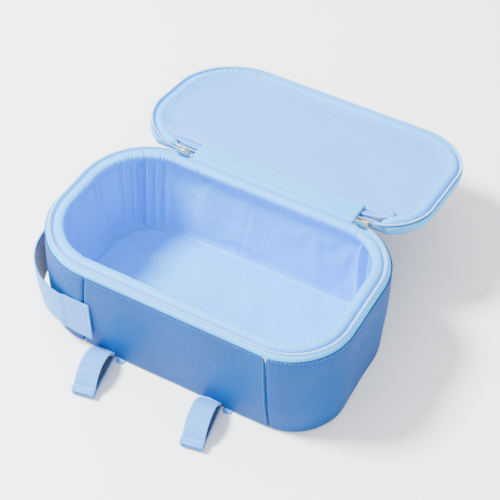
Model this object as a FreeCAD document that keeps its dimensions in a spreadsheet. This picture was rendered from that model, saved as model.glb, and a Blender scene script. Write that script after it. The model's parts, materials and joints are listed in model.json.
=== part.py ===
import FreeCAD, Part
import Sketcher
import math
import os
import re
from FreeCAD import Placement, Rotation, Vector

# Soft insulated lunch bag, open, in millimetres. The origin is the centre of the base,
# +Z is up, the front faces -Y, the lid is hinged along the back at +Y and the carrying
# handle goes round the left end at -X. The lid rests open, a little below level.

SIZES = {
    # tub: the blue wall at its top, how much it narrows to the base, and its layers
    "length": 254, "width": 146, "length_taper": 7, "width_taper": 9,
    "wall_height": 85, "radius_left": 59, "radius_right": 49, "base_radius": 43,
    "fabric": 1.0, "foam": 4.0, "lining": 0.7, "ply_gap": 0.15,
    "seam_short_left": 4, "seam_past_right": 5,
    # gathered rolls along both rims
    "roll_inset": 6.6, "roll_size": 8.6, "roll_fillet": 4.2, "roll_drop": 3.3,
    # zipper chain and its tapes, measured in from the wall
    "chain_inset": 4.2, "chain_width": 1.6, "chain_height": 1.4, "chain_gap": 0.8,
    "tape": 0.8, "tape_overlap": 0.8, "chain_clear": 3.6,
    "stop_length": 2.0, "stop_width": 2.4, "stop_height": 1.4,
    # fabric hinge along the back; its ends stop short of the rim's corners
    "hinge_rise": 6, "hinge_back": 3, "opening_angle": 188,
    "gusset_short_left": 11, "gusset_short_right": 2, "gusset_depth": 18,
    "gusset_lift": 0.6, "sweep_gap": 1.8, "hinge_gap": 0.35,
    # lid, drawn closed; its roll runs past the rim's corners
    "lid_cover_gap": 0.2, "lid_back": 8, "lid_inset": 3.0, "lid_band_lift": 3.5,
    "lid_tape_inset": 4.05, "lid_tape_top": 5.5, "lid_lining_lift": 1.55,
    "lid_roll_lift": 0.7, "lid_roll_left": 12, "lid_roll_right": 21,
    "lid_cut_back": 7, "lid_cut_roll": 22,
    # sliders and pulls
    "slider_length": 9, "slider_height": 6.4, "slider_nose": 4.2, "channel": 2.6,
    "plate": 1.2, "inner_plate": 0.8, "bridge": 0.9, "bail_length": 4.4,
    "bail_depth": 2.4, "bail_wire": 1.0, "bail_height": 1.4, "slider_turn": 10,
    "pull_length": 9, "pull_width": 3.8, "pull_plate": 0.8, "pull_window": 3.2,
    "pull_slack": 0.25,
    # handle; its roots are sewn on past the left seams
    "handle_low": 17, "handle_width": 38, "handle_reach": 10, "handle_side": 1.2,
    "handle_radius": 52, "webbing": 1.4, "handle_backing": 0.8, "handle_notch": 5,
    "handle_past_seam": 6, "anchor_length": 7,
    # hook-and-loop straps under the front edge
    "strap_inset_left": 8, "strap_inset_right": 45.5, "strap_width": 17, "strap_length": 44,
    "strap_skew": 11, "strap_root": 3, "strap_lift": 0.3, "backing": 0.8,
    "loop_tape": 0.8, "hook_tape": 0.8, "arch_start": 4.4, "arch_rise": 11,
    "flap_angle": 49, "flap_gap": 0.5, "hem": 3.6, "hem_thickness": 2.4,
    "tab_gap": 1.5, "tab_width": 7, "tab_length": 7,
}

# places that several pieces share
BASE_LENGTH = "(length - length_taper)"
BASE_WIDTH = "(width - width_taper)"
HINGE_HEIGHT = "(wall_height + hinge_rise)"
CORNER_LEFT = "(length / 2 - radius_left)"
CORNER_RIGHT = "(length / 2 - radius_right)"
GUSSET_LEFT = f"({CORNER_LEFT} - gusset_short_left)"
GUSSET_RIGHT = f"({CORNER_RIGHT} - gusset_short_right)"
CHAIN_LEFT = f"({GUSSET_LEFT} + chain_clear)"
CHAIN_RIGHT = f"({GUSSET_RIGHT} + chain_clear)"
SEAM_LEFT = f"({CORNER_LEFT} - seam_short_left)"
SEAM_RIGHT = f"({CORNER_RIGHT} + seam_past_right)"
HANDLE_ROOT = f"({SEAM_LEFT} + handle_past_seam)"
LID_HEIGHT = "(lid_roll_lift + roll_size + lid_cover_gap + fabric)"

doc = FreeCAD.newDocument("lunch_bag")
sheet = doc.addObject("Spreadsheet::Sheet", "sizes")
for row, (alias, number) in enumerate(SIZES.items(), 1):
    sheet.set(f"A{row}", alias)
    sheet.set(f"B{row}", str(number))
    sheet.setAlias(f"B{row}", alias)
doc.recompute()

parts = []


# ---- helpers: every size is an expression on the sheet's words ----

def cells(text):
    """Put the sheet's name before each of its words."""
    return re.sub(r"[a-z_]+", lambda m: f"sizes.{m[0]}" if m[0] in SIZES else m[0], text)


def now(text):
    """The number that an expression gives with the sizes as they are."""
    return float(sheet.evalExpression(cells(text)))


def bind(thing, prop, text):
    thing.setExpression(prop, cells(text))


def keep(thing, label):
    """Name a finished sub-part, whose label is also its file's name."""
    thing.Label = label
    parts.append(thing)
    return thing


def new_body(name):
    return doc.addObject("PartDesign::Body", name)


def sketch_on(body, name, plane, height="0"):
    """An empty sketch on one of the body's own planes, moved along its normal."""
    sketch = body.newObject("Sketcher::SketchObject", name)
    face = next(f for f in body.Origin.OriginFeatures if f.Role == plane)
    sketch.AttachmentSupport = [(face, "")]
    sketch.MapMode = "FlatFace"
    bind(sketch, "AttachmentOffset.Base.z", height)
    return sketch


def polygon(sketch, points):
    """A closed outline through points, each a pair of expressions for x and y."""
    first = sketch.GeometryCount
    spots = [Vector(now(x), now(y), 0) for x, y in points]
    count = len(spots)
    for i, spot in enumerate(spots):
        sketch.addGeometry(Part.LineSegment(spot, spots[(i + 1) % count]), False)
    for i in range(count):
        after = first + (i + 1) % count
        sketch.addConstraint(Sketcher.Constraint("Coincident", first + i, 2, after, 1))
    for i, (x, y) in enumerate(points):
        fix_point(sketch, (first + i, 1), x, y)
    return sketch


def fix_point(sketch, point, x, y):
    """Hold a point at its distances from the origin, measured whichever way is positive."""
    for kind, text in (("DistanceX", x), ("DistanceY", y)):
        if text is None:
            continue
        ahead = now(text) >= 0
        ends = (-1, 1, *point) if ahead else (*point, -1, 1)
        held = sketch.addConstraint(Sketcher.Constraint(kind, *ends, abs(now(text))))
        bind(sketch, f"Constraints[{held}]", text if ahead else f"-({text})")


def rounded(sketch, left, right, front, back, r_left, r_right):
    """A rounded rectangle: distances from the origin to its sides, and corner radii."""
    first = sketch.GeometryCount
    x0, x1, y0, y1 = -now(left), now(right), -now(front), now(back)
    rl, rr = now(r_left), now(r_right)
    turn = {"front_right": (x1 - rr, y0 + rr, rr, -90), "back_right": (x1 - rr, y1 - rr, rr, 0),
            "back_left": (x0 + rl, y1 - rl, rl, 90), "front_left": (x0 + rl, y0 + rl, rl, 180)}
    lines = [((x0 + rl, y0), (x1 - rr, y0)), ((x1, y0 + rr), (x1, y1 - rr)),
             ((x1 - rr, y1), (x0 + rl, y1)), ((x0, y1 - rl), (x0, y0 + rl))]
    for (start, end), (cx, cy, r, angle) in zip(lines, turn.values()):
        sketch.addGeometry(Part.LineSegment(Vector(*start, 0), Vector(*end, 0)), False)
        circle = Part.Circle(Vector(cx, cy, 0), Vector(0, 0, 1), r)
        a = math.radians(angle)
        sketch.addGeometry(Part.ArcOfCircle(circle, a, a + math.pi / 2), False)
    side = [first + 2 * i for i in range(4)]
    arc = [first + 2 * i + 1 for i in range(4)]
    add = sketch.addConstraint
    for i in range(4):
        add(Sketcher.Constraint("Tangent", side[i], 2, arc[i], 1))
        add(Sketcher.Constraint("Tangent", arc[i], 2, side[(i + 1) % 4], 1))
        add(Sketcher.Constraint("Horizontal" if i % 2 == 0 else "Vertical", side[i]))
    add(Sketcher.Constraint("Equal", arc[0], arc[1]))
    add(Sketcher.Constraint("Equal", arc[2], arc[3]))
    bound = [
        (Sketcher.Constraint("Radius", arc[0], rr), r_right),
        (Sketcher.Constraint("Radius", arc[2], rl), r_left),
        (Sketcher.Constraint("DistanceY", side[0], 1, -1, 1, -y0), front),
        (Sketcher.Constraint("DistanceX", -1, 1, side[1], 1, x1), right),
        (Sketcher.Constraint("DistanceY", -1, 1, side[2], 1, y1), back),
        (Sketcher.Constraint("DistanceX", side[3], 1, -1, 1, -x0), left),
    ]
    for constraint, text in bound:
        bind(sketch, f"Constraints[{add(constraint)}]", text)
    return sketch


def tub_outline(sketch, height, inset):
    """The tub's outline at a height up to the wall's top, drawn `inset` inside it."""
    share = f"(({height}) / wall_height)"
    half_x = f"({BASE_LENGTH} + length_taper * {share}) / 2 - ({inset})"
    half_y = f"({BASE_WIDTH} + width_taper * {share}) / 2 - ({inset})"
    r_left = f"base_radius + (radius_left - base_radius) * {share} - ({inset})"
    r_right = f"base_radius + (radius_right - base_radius) * {share} - ({inset})"
    return rounded(sketch, half_x, half_x, half_y, half_y, r_left, r_right)


def pad(body, sketch, length, centred=False):
    feature = body.newObject("PartDesign::Pad", f"{sketch.Name}_pad")
    feature.Profile = sketch
    feature.SideType = "Symmetric" if centred else "One side"
    bind(feature, "Length", length)
    return feature


def pocket_through(body, sketch):
    """Cut a sketch right through the body, both ways."""
    feature = body.newObject("PartDesign::Pocket", f"{sketch.Name}_pocket")
    feature.Profile = sketch
    feature.Type = "ThroughAll"
    feature.SideType = "Symmetric"
    return feature


def loft(body, kind, low, high):
    feature = body.newObject(f"PartDesign::{kind}Loft", f"{low.Name}_loft")
    feature.Profile = (low, [""])
    feature.Sections = [(high, [""])]
    feature.Ruled = True
    return feature


def wall(name, low, high, inset_low, inset_high, thickness):
    """A ring of even thickness that follows the tub between two heights."""
    body = new_body(name)
    top_level = high if now(high) <= now("wall_height") else "wall_height"
    for kind, extra in (("Additive", "0"), ("Subtractive", thickness)):
        rings = []
        for tag, z, level, inset in (("low", low, low, inset_low),
                                     ("high", high, top_level, inset_high)):
            sketch = sketch_on(body, f"{name}_{kind}_{tag}", "XY_Plane", z)
            rings.append(tub_outline(sketch, level, f"{inset} + {extra}"))
        loft(body, kind, *rings)
    return body


def box(name, x, y, z):
    """A helper block between pairs of expressions along X, Y and Z."""
    block = doc.addObject("Part::Box", name)
    for axis, dimension, (start, end) in zip("xyz", ("Length", "Width", "Height"), (x, y, z)):
        bind(block, dimension, f"({end}) - ({start})")
        bind(block, f"Placement.Base.{axis}", start)
    return block


def boolean(kind, name, base, tool):
    result = doc.addObject(f"Part::{kind}", name)
    result.Base = base
    result.Tool = tool
    return result


def cut_away(label, base, *tools):
    """A finished sub-part: a base shape less one or more helper blocks."""
    result = base
    for i, tool in enumerate(tools):
        result = boolean("Cut", f"{label}_cut{i}", result, tool)
    return keep(result, label)


def ring(name, low, high, inset, thickness):
    """An upright ring that follows the rim's outline, `inset` inside the wall."""
    body = new_body(name)
    sketch = sketch_on(body, f"{name}_ring", "XY_Plane", low)
    tub_outline(sketch, "wall_height", inset)
    tub_outline(sketch, "wall_height", f"{inset} + {thickness}")
    pad(body, sketch, f"({high}) - ({low})")
    return body


def plate(name, low, high, inset, level="wall_height"):
    """A flat sheet of the tub's outline at a level, `inset` inside it."""
    body = new_body(name)
    sketch = sketch_on(body, f"{name}_plate", "XY_Plane", low)
    tub_outline(sketch, level, inset)
    pad(body, sketch, f"({high}) - ({low})")
    return body


def roll(name, low):
    """A padded roll: a ring of square section with its edges rounded right over."""
    body = ring(name, low, f"{low} + roll_size", "roll_inset", "roll_size")
    doc.recompute()
    block = body.Tip
    rounded_edges = body.newObject("PartDesign::Fillet", f"{name}_fillet")
    level = [f"Face{i}" for i, face in enumerate(block.Shape.Faces, 1)
             if abs(face.normalAt(0, 0).z) > 0.9]
    rounded_edges.Base = (block, level)
    bind(rounded_edges, "Radius", "roll_fillet")
    return body


# ---- the tub: outer panels, foam, lining ----

INNER_FACE = "fabric + ply_gap + foam + ply_gap"
FLOOR = "fabric + ply_gap + foam + ply_gap"
BIG = "length"

shell = wall("outer_shell", "0", "wall_height", "0", "0", "fabric")
panels = {
    "front_panel": ((f"-{SEAM_LEFT}", SEAM_RIGHT), (f"-{BIG}", "0")),
    "back_panel": ((f"-{SEAM_LEFT}", SEAM_RIGHT), ("0", BIG)),
    "left_end_panel": ((f"-{BIG}", f"-{SEAM_LEFT}"), (f"-{BIG}", BIG)),
    "right_end_panel": ((SEAM_RIGHT, BIG), (f"-{BIG}", BIG)),
}
for label, (across, along) in panels.items():
    window = box(f"{label}_window", across, along, ("-1", "wall_height + 1"))
    keep(boolean("Common", f"{label}_piece", shell, window), label)

keep(plate("base_panel", "0", "fabric", "fabric + ply_gap", "0"), "base_panel")
keep(plate("base_foam", "fabric + ply_gap", "fabric + ply_gap + foam", INNER_FACE,
           "fabric + ply_gap"), "base_foam")
keep(wall("wall_foam", "fabric + ply_gap", "wall_height - 1", "fabric + ply_gap",
          "fabric + ply_gap", "foam"), "wall_foam")
keep(wall("lining_wall", FLOOR, "wall_height - 1", INNER_FACE, INNER_FACE, "lining"),
     "lining_wall")
keep(plate("lining_base", FLOOR, f"{FLOOR} + lining", f"{INNER_FACE} + lining + ply_gap",
           FLOOR), "lining_base")
keep(roll("rim_roll", "wall_height - roll_drop"), "rim_roll")


# ---- zipper on the tub, its stops, and the tub's half of the fabric hinge ----

CHAIN_TOP = f"{HINGE_HEIGHT} - chain_gap"
CHAIN_LOW = f"{CHAIN_TOP} - chain_height"
CHAIN_OUTER = "chain_inset - chain_width / 2"
BACK = ("width / 2 - lid_cut_roll", BIG)
ALL_HEIGHT = ("0", "2 * wall_height")

tape_back = box("tape_back", (f"-{GUSSET_LEFT} - hinge_gap", f"{GUSSET_RIGHT} + hinge_gap"),
                BACK, ALL_HEIGHT)
chain_back = box("chain_back", (f"-{CHAIN_LEFT}", CHAIN_RIGHT), BACK, ALL_HEIGHT)
tape_ring = wall("tape_ring", "wall_height - tape_overlap", f"{CHAIN_LOW} - ply_gap",
                 "fabric + ply_gap", "chain_inset - tape / 2", "tape")
cut_away("body_zipper_tape", tape_ring, tape_back)
chain_ring = ring("chain_ring", CHAIN_LOW, CHAIN_TOP, CHAIN_OUTER, "chain_width")
cut_away("body_zipper_coil", chain_ring, chain_back)

CHAIN_LINE = "width / 2 - chain_inset"
stops = [box(f"stop_{side}", across,
             (f"{CHAIN_LINE} - stop_width / 2", f"{CHAIN_LINE} + stop_width / 2"),
             (f"{CHAIN_TOP} - stop_height", CHAIN_TOP))
         for side, across in (
             ("left", (f"-{CHAIN_LEFT} + ply_gap", f"-{CHAIN_LEFT} + ply_gap + stop_length")),
             ("right", (f"{CHAIN_RIGHT} - ply_gap - stop_length", f"{CHAIN_RIGHT} - ply_gap")))]
keep(boolean("Fuse", "both_stops", *stops), "zipper_stops")

HINGE_LINE = "width / 2 - hinge_back"
body_gusset = new_body("body_gusset")
section = sketch_on(body_gusset, "body_gusset_section", "YZ_Plane",
                    f"({GUSSET_RIGHT} - {GUSSET_LEFT}) / 2")
GUSSET_FOOT = "width / 2 - fabric - ply_gap"
polygon(section, [
    (f"{GUSSET_FOOT} - tape", "wall_height - tape_overlap"),
    (GUSSET_FOOT, "wall_height - tape_overlap"),
    (f"{HINGE_LINE} + tape / 2", f"{HINGE_HEIGHT} - sweep_gap"),
    (f"{HINGE_LINE} - tape / 2", f"{HINGE_HEIGHT} - sweep_gap"),
])
pad(body_gusset, section, f"{GUSSET_LEFT} + {GUSSET_RIGHT}", centred=True)
keep(body_gusset, "hinge_gusset_body")


# ---- the lid: drawn closed, then turned open about the hinge line ----

def on_lid(thing):
    """Turn a closed lid piece open about the hinge line."""
    turn = "(360 - opening_angle)"
    thing.Placement = Placement(Vector(), Rotation(Vector(1, 0, 0), now(turn)))
    bind(thing, "Placement.Rotation.Angle", turn)
    line = f"({HINGE_LINE})"
    bind(thing, "Placement.Base.y",
         f"{line} - {line} * cos({turn}) + {HINGE_HEIGHT} * sin({turn})")
    bind(thing, "Placement.Base.z",
         f"{HINGE_HEIGHT} - {line} * sin({turn}) - {HINGE_HEIGHT} * cos({turn})")


def lid(lift):
    return f"{HINGE_HEIGHT} + {lift}"


lid_back = box("lid_back_block", (f"-{BIG}", BIG), (f"{HINGE_LINE} - lid_back", BIG), ALL_HEIGHT)
ring_back = box("ring_back_block", (f"-{BIG}", BIG), (f"{HINGE_LINE} - lid_cut_back", BIG),
                ALL_HEIGHT)
roll_back = box("roll_back_block",
                (f"-{CORNER_LEFT} - lid_roll_left", f"{CORNER_RIGHT} + lid_roll_right"),
                (f"{HINGE_LINE} - lid_cut_roll", BIG), ALL_HEIGHT)
PANEL_INSET = "roll_inset + roll_size + ply_gap"
LID_TOP = lid(LID_HEIGHT)
LID_UNDER = f"{LID_TOP} - fabric - ply_gap"
LINING_TOP = lid("lid_lining_lift + lining")
LID_CHAIN = lid("chain_gap")

lid_blanks = {
    "lid_outer_panel": (plate("lid_cover", f"{LID_TOP} - fabric", LID_TOP, "lid_inset"),
                        [lid_back]),
    "lid_foam": (plate("lid_pad", f"{LINING_TOP} + ply_gap", LID_UNDER, PANEL_INSET),
                 [lid_back]),
    "lid_lining": (plate("lid_inner", lid("lid_lining_lift"), LINING_TOP, PANEL_INSET),
                   [lid_back]),
    "lid_side_band": (ring("lid_band", lid("lid_band_lift"), LID_UNDER, "lid_inset", "fabric"),
                      [ring_back]),
    "lid_zipper_tape": (ring("lid_tape", f"{LID_CHAIN} + chain_height + ply_gap",
                             lid("lid_tape_top"), "lid_tape_inset", "tape"), [ring_back]),
    "lid_zipper_coil": (ring("lid_chain", LID_CHAIN, f"{LID_CHAIN} + chain_height",
                             CHAIN_OUTER, "chain_width"), [ring_back]),
    "lid_border_roll": (roll("lid_roll", lid("lid_roll_lift")), [roll_back]),
}
for label, (blank, cutters) in lid_blanks.items():
    on_lid(cut_away(label, blank, *cutters))

lid_gusset = new_body("lid_gusset")
section = sketch_on(lid_gusset, "lid_gusset_section", "YZ_Plane",
                    f"({GUSSET_RIGHT} - {GUSSET_LEFT}) / 2")
polygon(section, [
    (f"{HINGE_LINE} - gusset_depth", lid("gusset_lift")),
    (f"{HINGE_LINE} - hinge_gap", lid("gusset_lift")),
    (f"{HINGE_LINE} - hinge_gap", lid("gusset_lift + tape")),
    (f"{HINGE_LINE} - gusset_depth", lid("gusset_lift + tape")),
])
pad(lid_gusset, section, f"{GUSSET_LEFT} + {GUSSET_RIGHT}", centred=True)
on_lid(keep(lid_gusset, "hinge_gusset_lid"))


# ---- sliders and pulls: drawn with X along the chain and Y outwards ----

PLATE_OUT = "channel / 2 + plate"
PIN_OUT = f"{PLATE_OUT} + (bail_depth - bail_wire) / 2"


def on_chain(thing, side):
    """Stand a slider or pull on the chain, at its corner's start or a turn into it."""
    sign = {"left": "-", "right": ""}[side]
    turn = {"left": "0", "right": "slider_turn"}[side]
    radius = f"(radius_{side} - chain_inset)"
    axis = Vector(0, 0, -1)
    thing.Placement = Placement(Vector(), Rotation(axis, now(turn) if now(turn) else 1))
    bind(thing, "Placement.Rotation.Angle", turn)
    corner = {"left": CORNER_LEFT, "right": CORNER_RIGHT}[side]
    bind(thing, "Placement.Base.x", f"{sign}({corner} + {radius} * sin({turn}))")
    bind(thing, "Placement.Base.y", f"width / 2 - radius_{side} + {radius} * cos({turn})")
    bind(thing, "Placement.Base.z", HINGE_HEIGHT)


def rectangle(sketch, x0, x1, y0, y1):
    return polygon(sketch, [(x0, y0), (x1, y0), (x1, y1), (x0, y1)])


def slider(side):
    """Two plates joined by a bridge that parts the chains, with a bail for the pull."""
    body = new_body(f"slider_{side}_body")
    shield = sketch_on(body, f"shield_{side}", "XZ_Plane", "(inner_plate - plate) / 2")
    right = [("slider_length / 2", "-slider_nose / 2"), ("slider_length / 2", "slider_nose / 2"),
             ("slider_length / 6", "slider_height / 2")]
    left = [(f"-{x}", z) for x, z in reversed(right)]
    low = [("-slider_length / 6", "-slider_height / 2"),
           ("slider_length / 6", "-slider_height / 2")]
    polygon(shield, right + left + low)
    pad(body, shield, "channel + plate + inner_plate", centred=True)
    channels = sketch_on(body, f"channels_{side}", "YZ_Plane")
    rectangle(channels, "-channel / 2", "channel / 2", "bridge / 2", "slider_height")
    rectangle(channels, "-channel / 2", "channel / 2", "-slider_height", "-bridge / 2")
    pocket_through(body, channels)
    bail = sketch_on(body, f"bail_{side}", "XY_Plane")
    rectangle(bail, "-bail_length / 2", "bail_length / 2", f"{PLATE_OUT} - plate / 4",
              f"{PLATE_OUT} + bail_depth")
    rectangle(bail, "bail_wire - bail_length / 2", "bail_length / 2 - bail_wire",
              PLATE_OUT, f"{PLATE_OUT} + bail_depth - bail_wire")
    pad(body, bail, "bail_height", centred=True)
    on_chain(keep(body, f"slider_{side}"), side)


def pull(side):
    """A flat tab whose end bar sits in the bail, pointing away from the hinge."""
    sign = {"left": "-", "right": ""}[side]
    back = {"left": "", "right": "-"}[side]
    body = new_body(f"pull_{side}_body")
    face = sketch_on(body, f"tab_{side}", "XZ_Plane", f"-({PIN_OUT})")
    rectangle(face, f"{back}pull_plate / 2", f"{sign}pull_length", "-pull_width / 2",
              "pull_width / 2")
    slot = "(bail_height / 2 + pull_slack)"
    rectangle(face, f"{sign}pull_plate / 2", f"{sign}pull_window", f"-{slot}", slot)
    pad(body, face, "pull_plate", centred=True)
    on_chain(keep(body, f"pull_{side}"), side)


for hand in ("left", "right"):
    slider(hand)
    pull(hand)


# ---- carrying handle round the left end: a grip that swings on two sewn anchors ----

HANDLE_TOP = "handle_low + handle_width"
HANDLE_MID = "handle_low + handle_width / 2"
HANDLE_OUT = "(width / 2 + handle_side)"


def grip(name, inset, thickness):
    """One ply of the grip: a U that bows out round the end, notched at its two roots."""
    body = new_body(name)
    plan = sketch_on(body, f"{name}_plan", "XY_Plane", "handle_low")
    for step in (inset, f"{inset} + {thickness}"):
        side = f"{HANDLE_OUT} - ({step})"
        corner = f"handle_radius - ({step})"
        rounded(plan, f"length / 2 + handle_reach - ({step})", f"-({step})", side, side,
                corner, f"{HANDLE_ROOT} / 2 - ({step})")
    pad(body, plan, "handle_width")
    notch = sketch_on(body, f"{name}_notch", "XZ_Plane")
    polygon(notch, [
        (f"-{HANDLE_ROOT} - hinge_gap", HANDLE_MID),
        (f"-{HANDLE_ROOT} - handle_notch", f"{HANDLE_TOP} + 1"),
        (BIG, f"{HANDLE_TOP} + 1"),
        (BIG, "handle_low - 1"),
        (f"-{HANDLE_ROOT} - handle_notch", "handle_low - 1"),
    ])
    pocket_through(body, notch)
    return body


keep(grip("grip_webbing", "0", "webbing"), "handle_webbing")
keep(grip("grip_backing", "webbing + ply_gap", "handle_backing"), "handle_backing")

core = new_body("tub_core")
core_rings = [tub_outline(sketch_on(core, f"core_{tag}", "XY_Plane", z), z, "-ply_gap")
              for tag, z in (("low", "0"), ("high", "wall_height"))]
loft(core, "Additive", *core_rings)
for label, along in (("handle_anchor_front", (f"-{HANDLE_OUT}", "-width / 4")),
                     ("handle_anchor_back", ("width / 4", HANDLE_OUT))):
    tail = box(f"{label}_tail", (f"-{HANDLE_ROOT}", f"anchor_length - {HANDLE_ROOT}"), along,
               ("handle_low", HANDLE_TOP))
    cut_away(label, tail, core)


# ---- hook-and-loop straps: drawn with -Y away from the bag, root at the base's edge ----

LEG_TOP = "strap_lift + backing + webbing + loop_tape"
ARCH_LOW = f"{LEG_TOP} + hinge_gap"
STRAP_PLACES = {
    "left": f"strap_inset_left - {SEAM_LEFT}",
    "right": f"{SEAM_RIGHT} - strap_inset_right",
}
ARCH_END = "(strap_length - hem - hook_tape - webbing)"
HALF_CHORD = f"(({ARCH_END} - arch_start) / 2)"
ARCH_RADIUS = f"(({HALF_CHORD} ^ 2 + arch_rise ^ 2) / (2 * arch_rise))"
ARCH_OUT = f"(arch_start + {HALF_CHORD})"
ARCH_CENTRE = f"({ARCH_LOW} + arch_rise - {ARCH_RADIUS})"
FOOT_ANGLE = f"(acos({HALF_CHORD} / {ARCH_RADIUS}) / 1 deg)"


def on_front(thing, side):
    """Place a strap piece at its root under the front edge, skewed to the right."""
    thing.Placement = Placement(Vector(), Rotation(Vector(0, 0, 1), now("strap_skew")))
    bind(thing, "Placement.Rotation.Angle", "strap_skew")
    bind(thing, "Placement.Base.x", STRAP_PLACES[side])
    bind(thing, "Placement.Base.y", f"-{BASE_WIDTH} / 2")


def strip(name, across, along, low, high):
    """A flat strip, from one distance to another away from the bag."""
    body = new_body(name)
    plan = sketch_on(body, f"{name}_plan", "XY_Plane", low)
    rectangle(plan, *across, *(f"-({reach})" for reach in reversed(along)))
    pad(body, plan, f"({high}) - ({low})")
    return body


def arch(name, inner, thickness, start, end):
    """Part of an arched strip, between two angles measured up from the bag's side."""
    body = new_body(name)
    section = sketch_on(body, f"{name}_section", "YZ_Plane")
    centre = Vector(-now(ARCH_OUT), now(ARCH_CENTRE), 0)
    radii = (f"{ARCH_RADIUS} + {inner}", f"{ARCH_RADIUS} + {inner} + {thickness}")
    angles = [math.radians(now(text)) for text in (start, end)]
    for radius in radii:
        circle = Part.Circle(centre, Vector(0, 0, 1), now(radius))
        section.addGeometry(Part.ArcOfCircle(circle, *angles), False)
    spots = [[centre + Vector(math.cos(a), math.sin(a), 0) * now(radius) for radius in radii]
             for a in angles]
    for near, far in spots:
        section.addGeometry(Part.LineSegment(near, far), False)
    add = section.addConstraint
    for arc in (0, 1):
        add(Sketcher.Constraint("Coincident", arc, 1, 2, arc + 1))
        add(Sketcher.Constraint("Coincident", arc, 2, 3, arc + 1))
        bind(section, f"Constraints[{add(Sketcher.Constraint('Radius', arc, now(radii[arc])))}]",
             radii[arc])
    add(Sketcher.Constraint("Coincident", 0, 3, 1, 3))
    fix_point(section, (0, 3), f"-{ARCH_OUT}", ARCH_CENTRE)
    for arc in (0, 1):
        for end_point, text in ((1, start), (2, end)):
            across = f"-{ARCH_OUT} + ({radii[arc]}) * cos({text})"
            fix_point(section, (arc, end_point), across, None)
    pad(body, section, "strap_width", centred=True)
    return body


HALF_STRAP = ("-strap_width / 2", "strap_width / 2")
LEG_REACH = ("strap_root", "strap_length")
FLAP_FROM = "flap_angle + flap_gap"
ROOT_TO = "flap_angle - flap_gap"


def strap(side):
    """A lower leg on the floor, an arched root above it and a flap that peels open."""
    low = "strap_lift"
    leg = [("grip_tape", "backing"), ("lower_webbing", "webbing"), ("loop_tape", "loop_tape")]
    for ply, thickness in leg:
        high = f"{low} + {thickness}"
        on_front(keep(strip(f"leg_{ply}_{side}", HALF_STRAP, LEG_REACH, low, high),
                      f"strap_{side}_{ply}"), side)
        low = high
    turn = f"180 - {FOOT_ANGLE}"
    plies = [
        ("root_hook_tape", "0", "hook_tape", FOOT_ANGLE, ROOT_TO),
        ("root_webbing", "hook_tape", "webbing", FOOT_ANGLE, ROOT_TO),
        ("flap_hook_tape", "0", "hook_tape", FLAP_FROM, turn),
        ("flap_webbing", "hook_tape", "webbing", FLAP_FROM, turn),
    ]
    for ply, inner, thickness, start, end in plies:
        on_front(keep(arch(f"arch_{ply}_{side}", inner, thickness, start, end),
                      f"strap_{side}_{ply}"), side)
    on_front(keep(strip(f"hem_{side}", HALF_STRAP, ("strap_length - hem", "strap_length"),
                        ARCH_LOW, f"{ARCH_LOW} + hem_thickness"), f"strap_{side}_hem"), side)
    tab_from = "strap_width / 2 + tab_gap"
    tab_across = (tab_from, f"{tab_from} + tab_width")
    tab_reach = ("-webbing - tab_width / 2", "tab_length")
    for label, across, along, high in (
            ("anchor", HALF_STRAP, ("-webbing", "strap_root - hinge_gap"), LEG_TOP),
            ("tab", tab_across, tab_reach, "strap_lift + webbing")):
        blank = strip(f"{label}_{side}", across, along, "strap_lift", high)
        on_front(blank, side)
        cut_away(f"strap_{side}_{label}", blank, core)


for hand in ("left", "right"):
    strap(hand)


# ---- check and write ----

doc.recompute()
for thing in doc.Objects:
    if "Invalid" in thing.State or "Error" in thing.State:
        raise RuntimeError(f"{thing.Label} did not compute: {thing.State}")
for part in parts:
    if part.Shape.isNull() or not part.Shape.isValid() or not part.Shape.Solids:
        raise RuntimeError(f"{part.Label} has no valid shape")

os.makedirs("parts", exist_ok=True)
for part in parts:
    part.Shape.exportStep(f"parts/{part.Label}.step")
    print(f"{part.Label}: {len(part.Shape.Solids)} solid, {part.Shape.Volume / 1000:.2f} cm3")
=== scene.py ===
import json
import math
import random

import bmesh
import bpy
from mathutils import Matrix, Vector, noise


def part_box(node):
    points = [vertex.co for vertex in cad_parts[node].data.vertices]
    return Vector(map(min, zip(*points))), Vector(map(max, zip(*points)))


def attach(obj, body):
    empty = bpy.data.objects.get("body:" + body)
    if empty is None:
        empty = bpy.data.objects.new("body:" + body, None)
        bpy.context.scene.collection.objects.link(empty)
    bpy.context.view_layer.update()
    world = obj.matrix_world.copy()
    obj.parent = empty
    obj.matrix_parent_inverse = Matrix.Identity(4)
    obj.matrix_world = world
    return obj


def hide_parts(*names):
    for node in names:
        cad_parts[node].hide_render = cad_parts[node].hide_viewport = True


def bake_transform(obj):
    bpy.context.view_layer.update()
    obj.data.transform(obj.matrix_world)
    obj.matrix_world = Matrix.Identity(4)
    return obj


# Soft insulated lunch bag, open. Lengths in this script are millimetres; a finished mesh
# is scaled to metres. The lid's pieces are drawn closed and then turned open.

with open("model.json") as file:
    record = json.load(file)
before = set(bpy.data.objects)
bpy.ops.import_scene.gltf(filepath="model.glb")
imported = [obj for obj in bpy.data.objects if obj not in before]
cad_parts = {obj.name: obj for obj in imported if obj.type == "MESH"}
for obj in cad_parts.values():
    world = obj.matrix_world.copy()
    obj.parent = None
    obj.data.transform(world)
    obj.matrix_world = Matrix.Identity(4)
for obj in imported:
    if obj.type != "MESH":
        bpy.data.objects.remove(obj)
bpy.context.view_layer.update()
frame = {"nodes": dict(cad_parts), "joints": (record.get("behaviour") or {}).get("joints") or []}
MM = 0.001


# ---- sizes, read from the frame ----

def low(node):
    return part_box(node)[0] / MM


def high(node):
    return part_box(node)[1] / MM


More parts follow.
